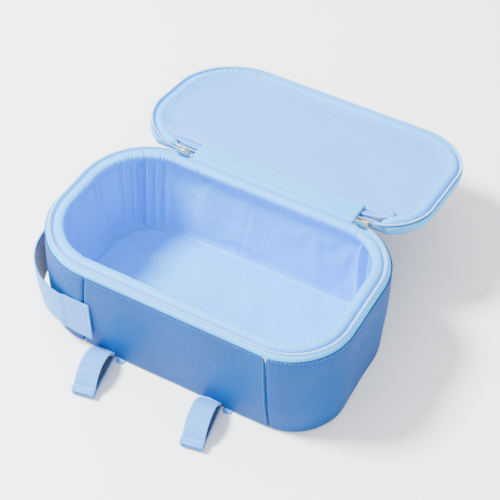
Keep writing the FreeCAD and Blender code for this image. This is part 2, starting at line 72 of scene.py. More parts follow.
PLY_GAP = 0.15
HALF_X = high("right_end_panel").x
HALF_Y = high("back_panel").y
WALL = high("front_panel").z
FABRIC = high("base_panel").z
BASE_X = high("base_panel").x + FABRIC + PLY_GAP
BASE_Y = high("base_panel").y + FABRIC + PLY_GAP
RADIUS_LEFT = 59
RADIUS_RIGHT = 49
BASE_RADIUS = 43
SEAM_LEFT = low("front_panel").x
SEAM_RIGHT = high("front_panel").x
GUSSET_LEFT = low("hinge_gusset_body").x
GUSSET_RIGHT = high("hinge_gusset_body").x
START = (GUSSET_LEFT + GUSSET_RIGHT) / 2
ROLL_SIZE = high("rim_roll").z - low("rim_roll").z
ROLL_INSET = HALF_X - high("rim_roll").x
ROLL_MIDDLE = ROLL_INSET + ROLL_SIZE / 2
ROLL_LEVEL = high("rim_roll").z - ROLL_SIZE / 2
COIL_INSET = 4.2
COIL_LEVEL = (low("body_zipper_coil").z + high("body_zipper_coil").z) / 2
JOINTS = {joint["name"]: joint for joint in frame["joints"]}
HINGE = Vector(JOINTS["lid_hinge"]["pos_m"]) / MM
OPENING = JOINTS["lid_hinge"]["range_deg"][1]
LID_INSET = 3.0
LID_BACK = HINGE.y - 8
STRAP_SKEW = 11
STRAP_ROOT_Y = -68.5
STRAPS = {"left": -56.0, "right": 37.5}


# ---- the tub's outline: a walk round the rim from the middle of the hinge, by the left ----

def heading(degrees):
    angle = math.radians(degrees)
    return Vector((math.cos(angle), math.sin(angle)))


def corners(share):
    """Centre and radius of each corner at a share of the wall's height, in walking order."""
    half_x = BASE_X + (HALF_X - BASE_X) * share
    half_y = BASE_Y + (HALF_Y - BASE_Y) * share
    left = BASE_RADIUS + (RADIUS_LEFT - BASE_RADIUS) * share
    right = BASE_RADIUS + (RADIUS_RIGHT - BASE_RADIUS) * share
    return [
        (Vector((left - half_x, half_y - left)), left),
        (Vector((left - half_x, left - half_y)), left),
        (Vector((half_x - right, right - half_y)), right),
        (Vector((half_x - right, half_y - right)), right),
    ]


def straight(corner, share, inset):
    """Ends of the straight run before a corner, the last of them ending at the hinge."""
    out = heading(90 + 90 * corner)
    places = [centre + out * (radius - inset) for centre, radius in corners(share)]
    middle = Vector((START, places[0].y))
    begin = places[corner - 1] if corner else middle
    finish = places[corner] if corner < 4 else Vector((START, places[3].y))
    return begin, finish, out


def walk_lengths():
    """Where each run and corner of the rim begins, and how long it is."""
    legs = []
    begin = 0.0
    for corner in range(5):
        first, last, _ = straight(corner, 1.0, 0.0)
        legs.append((begin, (last - first).length))
        begin += legs[-1][1]
        if corner < 4:
            legs.append((begin, corners(1.0)[corner][1] * math.pi / 2))
            begin += legs[-1][1]
    return legs, begin


WALK, ROUND = walk_lengths()
FRONT_BEGINS = WALK[4][0]


def rim(along, share=1.0, inset=0.0):
    """The outline's point some way round the rim, and the outward direction there."""
    along %= ROUND
    leg = max(i for i, (begin, _) in enumerate(WALK) if along >= begin)
    begin, length = WALK[leg]
    part = (along - begin) / length
    corner, bend = divmod(leg, 2)
    if bend:
        centre, radius = corners(share)[corner]
        out = heading(90 + 90 * (corner + part))
        return centre + out * (radius - inset), out
    first, last, out = straight(corner, share, inset)
    return first.lerp(last, part), out


FLAT_LEFT = RADIUS_LEFT - HALF_X
FLAT_RIGHT = HALF_X - RADIUS_RIGHT


def edge_run(x):
    """How far along a long edge the point above x is, measured round the corners from 0."""
    if x > FLAT_RIGHT:
        return FLAT_RIGHT + math.asin((x - FLAT_RIGHT) / RADIUS_RIGHT) * RADIUS_RIGHT
    if x < FLAT_LEFT:
        return FLAT_LEFT - math.asin((FLAT_LEFT - x) / RADIUS_LEFT) * RADIUS_LEFT
    return x


def at_front(x):
    """How far round the rim the front's point above x is."""
    return FRONT_BEGINS + edge_run(x) - FLAT_LEFT


def at_back(x):
    """The same for the back, from 0 at the hinge's middle to the left or up to ROUND."""
    return START - edge_run(x) + (ROUND if x > START else 0)


SEAMS = [at_back(SEAM_LEFT), at_front(SEAM_LEFT), at_front(SEAM_RIGHT), at_back(SEAM_RIGHT)]


def lay(along, share, inset, height):
    spot, _ = rim(along, share, inset)
    return Vector((spot.x, spot.y, height))


def bump_at(distance, width):
    """A smooth bump that is 1 at no distance and fades over a width."""
    return math.exp(-((distance / width) ** 2))


def eased(value):
    """0 to 1 with a soft start and end."""
    value = min(1.0, max(0.0, value))
    return value * value * (3 - 2 * value)


def past(along, place):
    """How far a place on the rim lies past another, the short way round."""
    return (along - place + ROUND / 2) % ROUND - ROUND / 2


def near(along, place):
    return abs(past(along, place))


def smooth_line(points):
    """A smooth curve through points: its length, and its point some way along it."""
    points = [Vector(point) for point in points]
    lengths = [0.0]
    for first, last in zip(points, points[1:]):
        lengths.append(lengths[-1] + (last - first).length)

    def at(run):
        span = max(i for i in range(len(points) - 1) if run >= lengths[i] - 1e-6)
        part = (run - lengths[span]) / (lengths[span + 1] - lengths[span])
        before = points[max(0, span - 1)]
        first, last = points[span], points[span + 1]
        after = points[min(len(points) - 1, span + 2)]
        return 0.5 * (2 * first + (last - before) * part
                      + (2 * before - 5 * first + 4 * last - after) * part ** 2
                      + (3 * first - before - 3 * last + after) * part ** 3)
    return lengths[-1], at


# ---- materials ----

def colour(code):
    """Linear RGBA of an sRGB hex colour."""
    parts = [int(code[i:i + 2], 16) / 255 for i in (0, 2, 4)]
    return [c / 12.92 if c <= 0.04045 else ((c + 0.055) / 1.055) ** 2.4 for c in parts] + [1.0]


def add(tree, kind, inputs=(), **settings):
    """Add a node with its settings; an input is a number, a colour or another's output."""
    made = tree.nodes.new(f"ShaderNode{kind}")
    for name, value in settings.items():
        setattr(made, name, value)
    for name, value in dict(inputs).items():
        if isinstance(value, bpy.types.NodeSocket):
            tree.links.new(value, made.inputs[name])
        else:
            made.inputs[name].default_value = value
    return made


def blank(name, **surface):
    """A new material: its node tree and its shader, with the shader's fixed values set."""
    made = bpy.data.materials.new(name)
    made.use_nodes = True
    tree = made.node_tree
    shader = tree.nodes["Principled BSDF"]
    for key, value in surface.items():
        shader.inputs[key.replace("_", " ")].default_value = value
    return made, tree, shader


def ramp(tree, factor, *stops):
    """Colours along a factor; each stop is a place and a hex colour."""
    made = add(tree, "ValToRGB", {"Fac": factor})
    elements = made.color_ramp.elements
    while len(elements) < len(stops):
        elements.new(0.5)
    for element, (place, code) in zip(elements, stops):
        element.position = place
        element.color = colour(code)
    return made.outputs["Color"]


def dress(tree, shader, shade, stops, height, strength, distance):
    """Colour a shader along a shade, and raise its surface by a height."""
    tree.links.new(ramp(tree, shade, *stops), shader.inputs["Base Color"])
    bump = add(tree, "Bump", {"Height": height, "Strength": strength, "Distance": distance})
    tree.links.new(bump.outputs["Normal"], shader.inputs["Normal"])


def woven(name, pale, dark, thread, relief, roughness, crinkle=0.0, coat=0.0):
    """Plain-weave cloth. Threads run along the piece's own map, in millimetres; broad
    shades come from the dye, and the small ones follow the threads, darker where they dip:
    painted shade."""
    made, tree, shader = blank(name, Roughness=roughness, Coat_Weight=coat,
                               Coat_Roughness=0.3, Specular_IOR_Level=0.12)
    flat = add(tree, "UVMap", uv_map="weave").outputs["UV"]
    place = add(tree, "TexCoord").outputs["Object"]
    turns = 2 * math.pi / thread
    weft = add(tree, "Mapping", {"Vector": flat, "Scale": (turns, turns, 1)}).outputs[0]
    split = add(tree, "SeparateXYZ", {"Vector": weft})
    waves = [add(tree, "Math", {0: split.outputs[axis]}, operation="SINE").outputs[0]
             for axis in "XY"]
    grain = add(tree, "Math", {0: waves[0], 1: waves[1]}, operation="MULTIPLY").outputs[0]
    slub = add(tree, "TexNoise", {"Vector": flat, "Scale": 0.35, "Detail": 3.0,
                                  "Roughness": 0.6}).outputs["Fac"]
    broad = add(tree, "TexNoise", {"Vector": place, "Scale": 22.0, "Detail": 2.0}).outputs["Fac"]
    mixed = add(tree, "Math", {0: slub, 1: broad}, operation="ADD").outputs[0]
    # the thread grain darkens the colour in the weave's dips: painted shade
    shade = add(tree, "Math", {0: grain, 1: 0.06, 2: mixed}, operation="MULTIPLY_ADD").outputs[0]
    spread = add(tree, "MapRange", {"Value": shade, "From Min": 0.6, "From Max": 1.4})
    tree.links.new(ramp(tree, spread.outputs[0], (0.0, dark), (1.0, pale)),
                   shader.inputs["Base Color"])
    fine = add(tree, "Bump", {"Height": grain, "Strength": relief, "Distance": 0.0002})
    normal = fine.outputs["Normal"]
    if crinkle:
        creases = add(tree, "TexNoise", {"Vector": place, "Scale": 60.0, "Detail": 4.0,
                                         "Roughness": 0.55, "Distortion": 0.4})
        normal = add(tree, "Bump", {"Height": creases.outputs["Fac"], "Strength": crinkle,
                                    "Distance": 0.003, "Normal": normal}).outputs["Normal"]
    tree.links.new(normal, shader.inputs["Normal"])
    return made


def ribbed(name, pale, dark, rib):
    """Polyester webbing: ribs across its length, set by the piece's own map."""
    made, tree, shader = blank(name, Roughness=0.72, Sheen_Weight=0.08, Sheen_Roughness=0.5,
                               Specular_IOR_Level=0.15)
    flat = add(tree, "UVMap", uv_map="weave").outputs["UV"]
    turns = 2 * math.pi / rib
    axes = add(tree, "Mapping", {"Vector": flat, "Scale": (turns, turns * 1.7, 1)}).outputs[0]
    split = add(tree, "SeparateXYZ", {"Vector": axes})
    ribs = add(tree, "Math", {0: split.outputs["X"]}, operation="SINE").outputs[0]
    cords = add(tree, "Math", {0: split.outputs["Y"]}, operation="SINE").outputs[0]
    relief = add(tree, "Math", {0: cords, 1: 0.35, 2: ribs}, operation="MULTIPLY_ADD").outputs[0]
    slub = add(tree, "TexNoise", {"Vector": flat, "Scale": 0.25, "Detail": 4.0}).outputs["Fac"]
    # the colour darkens in the ribs' hollows, painted shade, and varies with the slub
    shade = add(tree, "Math", {0: relief, 1: 0.12, 2: slub}, operation="MULTIPLY_ADD").outputs[0]
    dress(tree, shader, shade, ((0.25, dark), (0.7, pale)), relief, 0.35, 0.0002)
    return made


def napped(name, pale, dark, tuft):
    """Hook-and-loop tape: a matt field of fine tufts that catch a little light."""
    made, tree, shader = blank(name, Roughness=0.95, Sheen_Weight=0.6, Sheen_Roughness=0.6,
                               Specular_IOR_Level=0.15)
    place = add(tree, "TexCoord").outputs["Object"]
    tufts = add(tree, "TexVoronoi", {"Vector": place, "Scale": 1 / (tuft * MM)})
    haze = add(tree, "TexNoise", {"Vector": place, "Scale": 260.0, "Detail": 4.0}).outputs["Fac"]
    height = tufts.outputs["Distance"]
    shade = add(tree, "Math", {0: height, 1: haze}, operation="MULTIPLY").outputs[0]
    dress(tree, shader, shade, ((0.1, dark), (0.45, pale)), height, 0.6, 0.0004)
    return made


def nickel(name):
    """Die-cast zinc, tumbled and nickel plated: bright, warm grey, faintly hazed."""
    made, tree, shader = blank(name, Metallic=1.0)
    place = add(tree, "TexCoord").outputs["Object"]
    haze = add(tree, "TexNoise", {"Vector": place, "Scale": 900.0, "Detail": 3.0}).outputs["Fac"]
    rough = add(tree, "MapRange", {"Value": haze, "To Min": 0.18, "To Max": 0.36})
    tree.links.new(rough.outputs[0], shader.inputs["Roughness"])
    dress(tree, shader, haze, ((0.3, "B9B6AA"), (0.7, "DAD7CC")), haze, 0.1, 0.0001)
    return made


def moulded(name, pale, dark, roughness, grain):
    """Nylon or foam: an even body with a fine grain, in millimetres, and soft highlights."""
    made, tree, shader = blank(name, Roughness=roughness, Specular_IOR_Level=0.4)
    place = add(tree, "TexCoord").outputs["Object"]
    speck = add(tree, "TexNoise", {"Vector": place, "Scale": 1 / (grain * MM),
                                   "Detail": 3.0}).outputs["Fac"]
    dress(tree, shader, speck, ((0.3, dark), (0.7, pale)), speck, 0.25, 0.0003)
    return made


# Outer cover: dyed polyester taffeta. Real threads are 0.25 mm apart; drawn at 0.6 mm so
# that the weave shows. It has a soft silky highlight.
OXFORD = woven("blue_polyester_taffeta", "004B92", "003E7E", 0.6, 0.22, 0.55, 0.05)
# Lining: polyester with a wipe-clean coating, glossier than the cover and easily creased.
LINING = woven("coated_lining_cloth", "4AAEFA", "3CA2F5", 0.5, 0.08, 0.36, 0.16, 0.06)
# Lid lining: the same cloth laid flat over foam, so duller and with few creases.
LID_CLOTH = woven("flat_lining_cloth", "5AA0F0", "4E94E8", 0.5, 0.1, 0.45, 0.06, 0.03)
# Zipper tape and hinge strip: knitted polyester tape, matt with fine lengthwise cords.
TAPE = woven("knitted_zipper_tape", "48B0F4", "3AA4EE", 0.8, 0.35, 0.6)
# Handle and straps: woven polyester webbing with ribs 1.1 mm apart.
WEBBING = ribbed("ribbed_polyester_webbing", "5299E2", "4489D4", 1.1)
# Hook-and-loop tape: napped nylon, nearly black where the tufts shade each other.
NAVY = napped("napped_nylon_tape", "20457F", "04102E", 0.7)
# Sliders, pulls and stops: die-cast zinc with a nickel plate.
NICKEL = nickel("nickel_plated_zinc")
# Zipper coil: drawn nylon wire, smooth and a little paler than the tape.
NYLON = moulded("nylon_coil", "C4DCF7", "B2CFF2", 0.35, 0.8)
# Insulation: closed-cell polyethylene foam, matt with fine open cut cells.
FOAM = moulded("polyethylene_foam", "E4E4DF", "CFCFC9", 0.85, 0.5)
# Sewing thread: spun polyester, a shade lighter or darker than the cloth it holds.
BLUE_THREAD = moulded("blue_sewing_thread", "5E9FD8", "3F86C6", 0.6, 0.2)
PALE_THREAD = moulded("pale_sewing_thread", "D9EAFC", "B9D3F0", 0.6, 0.2)


# ---- making pieces ----

def finish_piece(name, bm, material, body, slot, stands_for=(), thick=0.0, side=-1.0,
                 soften=0.0, rounds=0):
    """Turn a bmesh in millimetres into a shown piece that rides on a body."""
    bmesh.ops.scale(bm, vec=(MM, MM, MM), verts=bm.verts)
    mesh = bpy.data.meshes.new(name)
    bm.to_mesh(mesh)
    bm.free()
    mesh.polygons.foreach_set("use_smooth", [True] * len(mesh.polygons))
    mesh.materials.append(material)
    piece = bpy.data.objects.new(name, mesh)
    bpy.context.scene.collection.objects.link(piece)
    if rounds:
        smooth = piece.modifiers.new("Smooth", "SUBSURF")
        smooth.levels = rounds
        smooth.render_levels = rounds
    if thick:
        ply = piece.modifiers.new("Ply", "SOLIDIFY")
        ply.thickness = thick * MM
        ply.offset = side
        ply.use_even_offset = True
    if soften:
        edge = piece.modifiers.new("Edge", "BEVEL")
        edge.width = soften * MM
        edge.segments = 2
        edge.limit_method = "ANGLE"
        edge.angle_limit = math.radians(60)
    if body:
        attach(piece, body)
    if stands_for:
        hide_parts(*stands_for)
    return piece


def remap(bm, rule):
    """Set the weave's map at each corner from its vertex and the map it has."""
    weave = bm.loops.layers.uv["weave"]
    for face in bm.faces:
        for loop in face.loops:
            loop[weave].uv = rule(loop.vert, loop[weave].uv)


def drape(place, across, along, step, closed=False):
    """A grid laid by place(u, v), both in millimetres, with u and v kept as its map."""
    bm = bmesh.new()
    columns = max(2, round((across[1] - across[0]) / step[0]))
    rows = max(1, round((along[1] - along[0]) / step[1]))
    bmesh.ops.create_grid(bm, x_segments=columns, y_segments=rows, size=1)
    flat = bm.verts.layers.float_vector.new("flat")
    for vert in bm.verts:
        u = across[0] + (across[1] - across[0]) * (vert.co.x + 1) / 2
        v = along[0] + (along[1] - along[0]) * (vert.co.y + 1) / 2
        vert[flat] = (u, v, 0)
    bm.loops.layers.uv.new("weave")
    flat = bm.verts.layers.float_vector["flat"]
    remap(bm, lambda vert, uv: vert[flat].xy)
    for vert in bm.verts:
        vert.co = place(*vert[flat].xy)
    if closed:
        bmesh.ops.remove_doubles(bm, verts=bm.verts, dist=0.005)
    return bm


CLOTH = {"quality": 6, "mass": 0.12, "tension_stiffness": 18, "compression_stiffness": 18,
         "shear_stiffness": 6, "bending_stiffness": 0.12}
CLOTH_FRAMES = 22
MOST_SLACK = 0.2


def buckle(bm, held, slack, reach):
    """Simulate a cloth cut larger than its place. held(along, height) pins a point, from 0
    to 1; slack(along) is the share it is cut too large; no point moves past reach."""
    mesh = bpy.data.meshes.new("loose_cloth")
    bm.to_mesh(mesh)
    mesh.transform(Matrix.Scale(MM, 4))
    cloth = bpy.data.objects.new("loose_cloth", mesh)
    bpy.context.scene.collection.objects.link(cloth)
    flat = bm.verts.layers.float_vector["flat"]
    pins = cloth.vertex_groups.new(name="held")
    spare = cloth.vertex_groups.new(name="spare")
    for i, vert in enumerate(bm.verts):
        pins.add([i], held(*vert[flat].xy), "REPLACE")
        spare.add([i], slack(vert[flat].x) / MOST_SLACK, "REPLACE")
    loose = cloth.modifiers.new("Loose", "CLOTH")
    settings = loose.settings
    for key, value in CLOTH.items():
        setattr(settings, key, value)
    settings.vertex_group_mass = "held"
    settings.vertex_group_shrink = "spare"
    settings.shrink_min = 0.0
    settings.shrink_max = -MOST_SLACK
    settings.effector_weights.gravity = 0.1
    loose.collision_settings.use_collision = False
    loose.point_cache.frame_start = 1
    loose.point_cache.frame_end = CLOTH_FRAMES
    for number in range(1, CLOTH_FRAMES + 1):
        bpy.context.scene.frame_set(number)
    settled = cloth.evaluated_get(bpy.context.evaluated_depsgraph_get())
    for vert, after in zip(bm.verts, settled.data.vertices):
        move = after.co / MM - vert.co
        vert.co += move * min(1.0, reach / max(move.length, 0.001))
    bpy.data.objects.remove(cloth)
    bpy.context.scene.frame_set(1)


def open_lid(bm):
    """Turn a piece that was drawn on the closed lid to where the lid rests open."""
    turn = Matrix.Rotation(math.radians(360 - OPENING), 4, "X")
    bmesh.ops.transform(bm, verts=bm.verts, space=Matrix.Translation(-HINGE), matrix=turn)
    return bm


def thread(bm, start, end, up, width=0.5, height=0.35):
    """One stitch from start to end, lying on the cloth."""
    ahead = end - start
    side = ahead.cross(up).normalized()
    top = side.cross(ahead).normalized()
    axes = Matrix((ahead.normalized(), side, top)).transposed().to_4x4()
    size = Matrix.Diagonal((ahead.length / 2, width / 2, height / 2, 1))
    middle = Matrix.Translation((start + end) / 2)
    bmesh.ops.create_icosphere(bm, subdivisions=1, radius=1, matrix=middle @ axes @ size)


def stitch_row(bm, path, begin, finish, up, pitch=3.2, length=2.2, **size):
    """Stitches along path(distance), with the cloth's upward direction from up(distance)."""
    count = int((finish - begin) / pitch)
    for i in range(count):
        at = begin + (i + 0.5) * pitch
        thread(bm, path(at - length / 2), path(at + length / 2), up(at), **size)


# ---- the blue cover ----

COVER_EDGE = 2.6
STITCH_DROP = 2.3
STITCH_OUT = 0.12
CORNER_SLUMP = at_front(110)


def cover_point(along, height):
    """The outside of the blue cover: a soft belly, pinched at its seams and stitching."""
    share = height / WALL
    belly = 1.3 * math.sin(math.pi * min(1.0, share * 1.05)) ** 0.8 if share > 0 else 0.0
    seam = min(near(along, place) for place in SEAMS)
    pinch = 0.9 * bump_at(seam, 1.2) + 0.35 * bump_at(seam, 6.0)
    pinch -= 0.35 * bump_at(seam - 3.2, 1.6)
    pinch += 0.45 * bump_at(height - (WALL - STITCH_DROP), 1.1)
    pucker = 0.3 * math.sin(along * 2 * math.pi / 3.2) * bump_at(height - WALL + 1.5, 2.2)
    spot, out = rim(along, share)
    drift = noise.noise(Vector((spot.x / 46, spot.y / 46, height / 30)))
    small = noise.noise(Vector((spot.x / 14 + 7, spot.y / 14, height / 16)))
    slump = 1.7 * bump_at(near(along, CORNER_SLUMP), 45) * bump_at(share - 0.22, 0.25)
    puff = belly - pinch + pucker + 0.8 * drift + 0.18 * small + slump
    tuck = 0.0
    if height < COVER_EDGE:
        tuck = COVER_EDGE - math.sqrt(max(0.0, COVER_EDGE ** 2 - (COVER_EDGE - height) ** 2))
    return lay(along, share, tuck - puff, height)


def cover_out(along, height):
    _, out = rim(along, height / WALL)
    return Vector((out.x, out.y, 0.1))


def make_cover():
    back_left, front_left, front_right, back_right = SEAMS
    panels = {
        "left_end_cover": ("left_end_panel", back_left, front_left),
        "front_cover": ("front_panel", front_left, front_right),
        "right_end_cover": ("right_end_panel", front_right, back_right),
        "back_cover": ("back_panel", back_right, back_left + ROUND),
    }
    for name, (node, begin, finish) in panels.items():
        bm = drape(cover_point, (begin + 0.12, finish - 0.12), (0, WALL), (1.6, 1.7))
        panel = finish_piece(name, bm, OXFORD, "tub", "outer_fabric", [node], FABRIC * 0.8)


def make_cover_stitching():
    bm = bmesh.new()
    top = WALL - STITCH_DROP
    stitch_row(bm, lambda a: cover_point(a, top) + cover_out(a, top) * STITCH_OUT,
               SEAMS[0], ROUND + SEAMS[0] - 1, lambda a: cover_out(a, top))
    for seam, side in zip(SEAMS, (-1, 1, -1, 1)):
        line = seam + 1.9 * side
        out = cover_out(line, WALL / 2)
        stitch_row(bm, lambda z: cover_point(line, z) + out * STITCH_OUT, 3, top - 1,
                   lambda z: out, pitch=2.9, length=2.1, width=0.45)
    finish_piece("cover_topstitching", bm, BLUE_THREAD, "tub", "outer_fabric")


def disc(edge, spine, level, rings, step, dome=None):
    """A flat sheet inside a closed edge, laid in rings towards a short spine. Points on the
    spine are evened out, so that the front and back halves share them and no slit is left."""
    def place(along, ring):
        outer = edge(along)
        middle = 2 * step * round(min(spine, max(-spine, outer.x)) / (2 * step))
        inner = Vector((middle, 0.0))
        spot = outer.lerp(inner, ring)
        return Vector((spot.x, spot.y, level + (dome(spot, ring) if dome else 0.0)))
    bm = drape(place, (0, ROUND), (0, 1), (step, 1 / rings), closed=True)
    bmesh.ops.remove_doubles(bm, verts=bm.verts, dist=0.01)
    flatten_map(bm)
    return bm


def flatten_map(bm):
    """Lay the threads of a flat sheet along X and Y."""
    remap(bm, lambda vert, uv: vert.co.xy)
    bmesh.ops.dissolve_degenerate(bm, dist=0.002, edges=bm.edges)


def area_inside(edge):
    """Area of a closed outline, in square millimetres."""
    spots = [edge(ROUND * i / 400) for i in range(400)]
    return abs(sum(a.cross(b) for a, b in zip(spots, spots[1:] + spots[:1]))) / 2


def sheet_of(edge):
    """Work out a flat-cut sheet's outline points and area; neither is kept."""
    spots = [edge(ROUND * i / 200) for i in range(200)]
    area_inside(edge) * MM * MM


def make_base():
    def edge(along):
        return rim(along, 0.0, COVER_EDGE * 0.95)[0]
    bm = disc(edge, 60, 0.0, 12, 4.0, lambda p, r: 0.12 * (1 - math.cos(p.x / 9)) * r)
    bmesh.ops.reverse_faces(bm, faces=bm.faces)
    base = finish_piece("base_cover", bm, OXFORD, "tub", "outer_fabric", ["base_panel"],
                        FABRIC * 0.8)
    sheet_of(edge)


# ---- foam inside the walls, base and lid ----

def make_foam():
    foam_in = FABRIC + PLY_GAP
    bm = drape(lambda a, z: lay(a, z / WALL, foam_in + 0.3, z), (0, ROUND),
               (foam_in + 0.2, WALL - 1.2), (4, 8), closed=True)
    walls = finish_piece("wall_insulation", bm, FOAM, "tub", "foam", ["wall_foam"], 3.6)

    def base_edge(along):
        return rim(along, 0.01, foam_in + 4.3)[0]
    bm = disc(base_edge, 60, high("base_foam").z, 8, 5.0)
    base = finish_piece("base_insulation", bm, FOAM, "tub", "foam", ["base_foam"], 3.8)

    inside = lid_edge(ROLL_INSET + ROLL_SIZE + PLY_GAP)
    bm = open_lid(disc(inside, 60, HINGE.z + 9.2, 8, 5.0))
    lid = finish_piece("lid_insulation", bm, FOAM, "lid", "foam", ["lid_foam"], 5.0)


# ---- lining of the tub ----

FLOOR = high("lining_base").z
LINING_TOP = WALL - 1.6
LINING_CLEAR = 6.1
LINING_REACH = 6.0


def lining_folds(along, share):
    """How far the loose lining stands in from the foam: folds fan down from the rim."""
    folds = (
        # place round the rim, depth, half-width at the top and bottom, sideways run
        (at_back(-99), 9.0, 1.6, 3.4, 1.0), (at_back(-90), 4.5, 1.4, 4.0, -3.0),
        (at_back(-109), 4.6, 1.8, 3.4, 3.0), (at_back(-116), 3.6, 1.6, 4.0, 4.0),
        (at_back(-80), 3.4, 2.0, 5.0, -6.0), (at_back(-126) + 8, 4.0, 1.8, 4.0, 2.0),
        (at_front(-121) - 12, 3.6, 2.0, 5.0, -2.0), (at_front(-118), 7.0, 2.4, 4.0, -3.0),
        (at_front(-102), 4.4, 2.4, 6.0, -4.0), (at_front(-88), 2.4, 2.4, 6.0, 5.0),
        (at_back(96), 6.0, 1.6, 4.0, -1.0), (at_back(107), 3.6, 1.8, 4.0, 2.0),
        (at_back(118), 2.6, 2.0, 5.0, 3.0), (at_front(108), 2.8, 2.4, 6.0, 3.0),
        (at_front(60), 1.4, 3.0, 9.0, 6.0), (at_back(50), 1.2, 3.0, 8.0, -6.0),
        (at_back(-40), 1.4, 3.0, 9.0, 9.0),
    )
    stand = 0.0
    for place, depth, top, foot, run in folds:
        width = foot + (top - foot) * share
        gap = past(along, place + run * (1 - share))
        width *= 0.7 if gap * run > 0 else 1.5
        stand += depth * bump_at(gap, width)
    pinched = 1 - 0.7 * eased((share - 0.84) / 0.16)
    return 1.4 * stand * (0.2 + 0.8 * share ** 0.6) * pinched


JOIN = at_back(-2)


def lining_share(height):
    return min(1.0, max(0.0, (height - FLOOR) / (LINING_TOP - FLOOR)))


def join_gap(along, height):
    """Distance from the lining's slanting join in the middle of its back."""
    return near(along, JOIN + (WALL - height) * 0.12)


def lining_point(along, height):
    """The lining's face towards the food, hung from the roll and sewn to the base."""
    share = lining_share(height)
    spot, _ = rim(along, height / WALL)
    soft = noise.noise(Vector((spot.x / 26, spot.y / 26, height / 34)))
    crisp = noise.ridged_multi_fractal(
        Vector((spot.x / 34, spot.y / 34 + 3, height / 52)), 0.9, 2.1, 3, 1.0, 2.0)
    loose = math.sin(math.pi * share) ** 0.6
    stand = 6.6 + 3.6 * eased((share - 0.85) / 0.15) + 1.6 * (1 - eased(share / 0.08))
    stand += loose * (0.9 + 1.5 * soft + 0.9 * (crisp - 0.6))
    stand += lining_folds(along, share)
    stand -= 1.3 * bump_at(join_gap(along, height), 1.3)
    return lay(along, height / WALL, max(LINING_CLEAR, stand), height)


def lining_slack(along):
    """The lining is cut fuller where it goes round the corners and the left end."""
    left = bump_at(near(along, at_back(-100)), 30)
    right = 0.7 * bump_at(near(along, at_back(106)), 20)
    return 0.05 + 0.12 * min(1.0, left + right + 0.7 * left_share(along))


def make_lining():
    bm = drape(lining_point, (0, ROUND), (FLOOR + 0.3, LINING_TOP), (2.3, 2.7), closed=True)
    buckle(bm, lambda a, z: 1.0 if z < FLOOR + 2 or z > LINING_TOP - 1.5 else 0.0,
           lining_slack, LINING_REACH)
    flat = bm.verts.layers.float_vector["flat"]
    for vert in bm.verts:
        wall, out = rim(vert[flat].x, min(1.0, vert.co.z / WALL), LINING_CLEAR)
        beyond = (vert.co.xy - wall).dot(out)
        if beyond > 0:
            vert.co.xy -= out * beyond
    walls = finish_piece("wall_lining", bm, LINING, "tub", "lining_sheet", ["lining_wall"],
                         0.5, side=1.0, rounds=1)

    def edge(along):
        return rim(along, FLOOR / WALL, 7.6)[0]

    def swell(spot, ring):
        ridge = noise.ridged_multi_fractal(
            Vector(((spot.x + 0.55 * spot.y) / 58, (spot.y - 0.4 * spot.x) / 30, 2.0)),
            0.9, 2.0, 3, 1.0, 2.0)
        soft = noise.noise(Vector((spot.x / 38, spot.y / 30, 5.0)))
        rise = 1.6 * (1 - eased(ring / 0.05)) + 0.7 * bump_at(ring - 0.13, 0.05)
        return 0.4 + rise + eased(ring / 0.2) * (0.9 * soft + 1.3 * max(0.0, ridge - 0.4))
    bm = disc(edge, 62, FLOOR - 0.2, 44, 2.2, swell)
    base = finish_piece("base_lining", bm, LINING, "tub", "lining_sheet", ["lining_base"],
                        0.5)
    sheet_of(edge)


# ---- padded rolls along both rims ----

def gathers(seed, begin, finish, wealth):
    """Creases across a roll: (place, depth, half-width, slant, middle turn). wealth(place)
    says how many there are for each centimetre."""
    draw = random.Random(seed)
    found = []
    place = begin
    while place < finish:
        place += 10 / max(0.4, wealth(place)) * draw.uniform(0.45, 1.6)
        found.append((place, draw.uniform(0.5, 1.7), draw.uniform(0.4, 0.9),
                      draw.uniform(-1.6, 1.6), draw.uniform(130, 250)))
    return found


def left_share(along):
    """1 at the bag's left end and 0 along its front, back and right."""
    spot, _ = rim(along)
    return eased((-spot.x - 30) / 70)


def gathered_roll(creases, seam_turn, wealth):
    """A roll's radius at a place and turn, creased by its gathers."""
    creases = sorted(creases)

    def radius(along, turn):
        size = ROLL_SIZE / 2
        angle = math.radians(turn)
        square = (abs(math.cos(angle)) ** 2.6 + abs(math.sin(angle)) ** 2.6) ** (-1 / 2.6)
        cut = 0.0
        spot, _ = rim(along)
        for place, depth, width, slant, middle in creases:
            gap = past(along, place) - slant * math.sin(math.radians(turn - middle))
            if abs(gap) < 3 * width:
                window = bump_at(((turn - middle + 180) % 360 - 180), 75)
                cut += depth * bump_at(gap, width) * (0.25 + 0.75 * window)
        fine = noise.noise(Vector((spot.x / 1.9, spot.y / 1.9, math.sin(angle) * 0.7)))
        broad = noise.noise(Vector((spot.x / 21, spot.y / 21, 1.0)))
        pull = 0.55 * bump_at(((turn - seam_turn + 180) % 360 - 180), 26)
        rich = min(1.0, wealth(along) / 3)
        return (size * square * 0.97 - min(1.9, cut) * (0.4 + 0.6 * rich)
                + fine * (0.09 + 0.16 * rich) + 0.2 * broad - pull)
    return radius


def body_wealth(along):
    return 0.5 + 2.6 * left_share(along) + 0.5 * bump_at(near(along, at_front(100)), 30)


def make_rim_roll():
    radius = gathered_roll(gathers(7, 0, ROUND, body_wealth), 205, body_wealth)

    def place(along, turn):
        size = radius(along, turn)
        angle = math.radians(turn)
        return lay(along, 1.0, ROLL_MIDDLE - size * math.cos(angle),
                   ROLL_LEVEL + size * math.sin(angle))
    bm = drape(place, (0, ROUND), (0, 360), (0.75, 360 / 26), closed=True)
    scale_turns(bm)
    roll = finish_piece("rim_piping", bm, LINING, "tub", "lining_sheet", ["rim_roll"])


def scale_turns(bm):
    """A roll's map counts degrees round it; make them millimetres."""
    ratio = math.pi * ROLL_SIZE / 360
    remap(bm, lambda vert, uv: (uv.x, uv.y * ratio))


